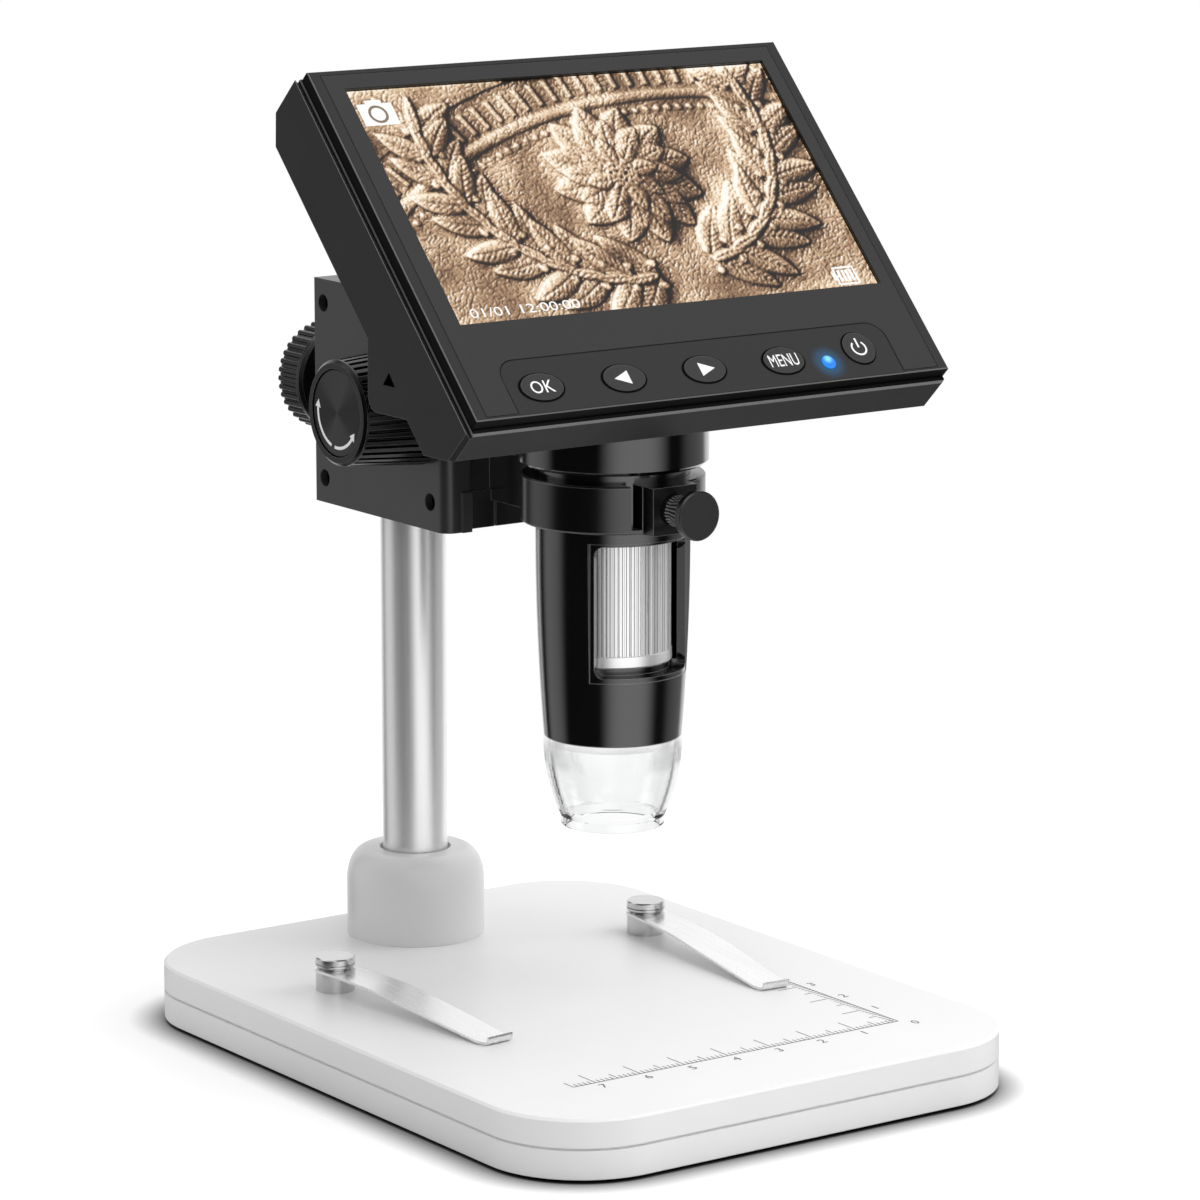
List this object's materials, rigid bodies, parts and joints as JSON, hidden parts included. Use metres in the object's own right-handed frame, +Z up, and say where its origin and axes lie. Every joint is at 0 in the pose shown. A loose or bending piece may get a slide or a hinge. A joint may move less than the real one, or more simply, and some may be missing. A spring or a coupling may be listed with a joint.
{
  "type": "lcd digital microscope",
  "caption": "Desk microscope whose camera barrel hangs from a tilted display, held in a clamp ring on a geared focus block that slides on a pole in a flat base.",
  "frame": {"origin": "middle of the base's plan, on the table under its rubber feet", "axes": "+X right along the base's front edge, +Y back towards the pole, +Z up"},
  "size_m": [0.112, 0.1627, 0.1917],
  "materials": {
    "white_plastic": "fine satin",
    "ballast": "plain",
    "rubber": "matt",
    "steel": "satin",
    "black_steel": "satin black",
    "clip_steel": "satin spring steel",
    "pole_aluminium": "satin anodised",
    "block_black": "satin black",
    "knob_black": "semi-gloss moulded",
    "cap_black": "spun black",
    "brass": "machined",
    "pad_white": "plain",
    "barrel_black": "gloss",
    "wheel_silver": "bright satin",
    "inner_black": "matt",
    "board_green": "circuit board",
    "flex_amber": "film",
    "light_cream": "lens of a light",
    "clear": "clear",
    "lens": "coated",
    "case_black": "fine satin",
    "frame_black": "gloss",
    "panel_black": "satin",
    "display": "lit picture",
    "battery_grey": "foil",
    "key_black": "semi-gloss",
    "blue_light": "lit"
  },
  "bodies": {
    "base": {"base_top_shell": "white_plastic", "base_bottom_plate": "white_plastic", "base_weight": "ballast", "base_feet": "rubber", "base_screws": "steel", "pole_collar": "white_plastic", "collar_bolts": "steel", "clip_posts": "steel", "clip_nuts": "steel", "clip_screws": "steel"},
    "collar_screw": {"collar_set_screw": "black_steel"},
    "pole": {"pole_tube": "pole_aluminium", "pole_cap": "inner_black"},
    "block": {"block_left": "block_black", "block_right": "block_black", "block_screws": "black_steel", "lock_nut": "brass", "lock_pad": "pad_white"},
    "lock": {"lock_knob": "knob_black", "lock_screw": "steel"},
    "focus_drive": {"focus_shaft": "steel", "focus_pinion": "brass", "focus_knob_left": "knob_black", "focus_knob_right": "knob_black", "focus_cap_left": "cap_black", "focus_cap_right": "cap_black"},
    "carriage": {"carriage": "block_black", "focus_rack": "brass"},
    "ring_screw": {"thumb_screw": "black_steel"},
    "head": {"barrel_shell": "barrel_black", "sensor_mount": "inner_black", "sensor_board": "board_green", "sensor_flex": "flex_amber", "light_ring": "board_green", "ring_lights": "light_cream", "clear_shroud": "clear", "rear_housing": "case_black", "front_frame": "frame_black", "front_panel": "panel_black", "lcd_module": "display", "display_bracket": "steel", "key_board": "board_green", "main_board": "board_green", "battery": "battery_grey", "usb_socket": "steel", "card_socket": "steel", "case_screws": "black_steel", "status_light": "blue_light"},
    "wheel": {"focus_wheel": "wheel_silver"},
    "lens": {"lens_carrier": "inner_black", "lens_glass": "lens"},
    "key_ok": {"button_ok": "key_black"},
    "key_left": {"button_left": "key_black"},
    "key_right": {"button_right": "key_black"},
    "key_menu": {"button_menu": "key_black"},
    "key_power": {"button_power": "key_black"},
    "clip_left": {"clip_spring_left": "clip_steel"},
    "clip_right": {"clip_spring_right": "clip_steel"}
  },
  "joints": [
    {"name": "set_screw_turn", "type": "hinge", "parent": "base", "child": "collar_screw", "pos_m": [0, 0.07, 0.0208], "axis": [0, 1, 0], "range_deg": [0, 360]},
    {"name": "pole_turn", "type": "hinge", "parent": "base", "child": "pole", "pos_m": [0, 0.055, 0.0208], "axis": [0, 0, 1], "continuous": true},
    {"name": "block_slide", "type": "slide", "parent": "pole", "child": "block", "axis": [0, 0, 1], "range_m": [-0.02, 0.02]},
    {"name": "lock_turn", "type": "hinge", "parent": "block", "child": "lock", "pos_m": [0, 0.076, 0.1216], "axis": [0, 1, 0], "range_deg": [0, 360]},
    {"name": "carriage_slide", "type": "slide", "parent": "block", "child": "carriage", "axis": [0, 0, 1], "range_m": [-0.012, 0.012]},
    {"name": "focus_turn", "type": "hinge", "parent": "block", "child": "focus_drive", "pos_m": [0, 0.0287, 0.1244], "axis": [-1, 0, 0], "range_deg": [-123, 123]},
    {"name": "ring_screw_turn", "type": "hinge", "parent": "carriage", "child": "ring_screw", "pos_m": [0, -0.035, 0.1113], "axis": [0, -1, 0], "range_deg": [0, 360]},
    {"name": "head_turn", "type": "hinge", "parent": "carriage", "child": "head", "pos_m": [0, -0.0135, 0.1113], "axis": [0, 0, 1], "range_deg": [-35, 35]},
    {"name": "wheel_turn", "type": "hinge", "parent": "head", "child": "wheel", "pos_m": [0, -0.0135, 0.092], "axis": [0, 0, 1], "range_deg": [-150, 150]},
    {"name": "lens_slide", "type": "slide", "parent": "head", "child": "lens", "axis": [0, 0, 1], "range_m": [-0.0026, 0.0026]},
    {"name": "press_ok", "type": "slide", "parent": "head", "child": "key_ok", "axis": [0, 0.7206, -0.6934], "range_m": [0, 0.0004], "stiffness_N_per_m": 3000, "springref_m": -0.00005},
    {"name": "press_left", "type": "slide", "parent": "head", "child": "key_left", "axis": [0, 0.7206, -0.6934], "range_m": [0, 0.0004], "stiffness_N_per_m": 3000, "springref_m": -0.00005},
    {"name": "press_right", "type": "slide", "parent": "head", "child": "key_right", "axis": [0, 0.7206, -0.6934], "range_m": [0, 0.0004], "stiffness_N_per_m": 3000, "springref_m": -0.00005},
    {"name": "press_menu", "type": "slide", "parent": "head", "child": "key_menu", "axis": [0, 0.7206, -0.6934], "range_m": [0, 0.0004], "stiffness_N_per_m": 3000, "springref_m": -0.00005},
    {"name": "press_power", "type": "slide", "parent": "head", "child": "key_power", "axis": [0, 0.7206, -0.6934], "range_m": [0, 0.0004], "stiffness_N_per_m": 3000, "springref_m": -0.00005},
    {"name": "clip_left_swivel", "type": "hinge", "parent": "base", "child": "clip_left", "pos_m": [-0.037, 0.027, 0.016], "axis": [0, 0, 1], "range_deg": [-180, 32]},
    {"name": "clip_right_swivel", "type": "hinge", "parent": "base", "child": "clip_right", "pos_m": [0.037, 0.027, 0.016], "axis": [0, 0, 1], "range_deg": [-32, 180]}
  ],
  "couplings": [
    {"joint": "focus_turn", "follows": "carriage_slide", "rad_per_m": 178.57},
    {"joint": "lens_slide", "follows": "wheel_turn", "m_per_rad": 0.000955}
  ]
}
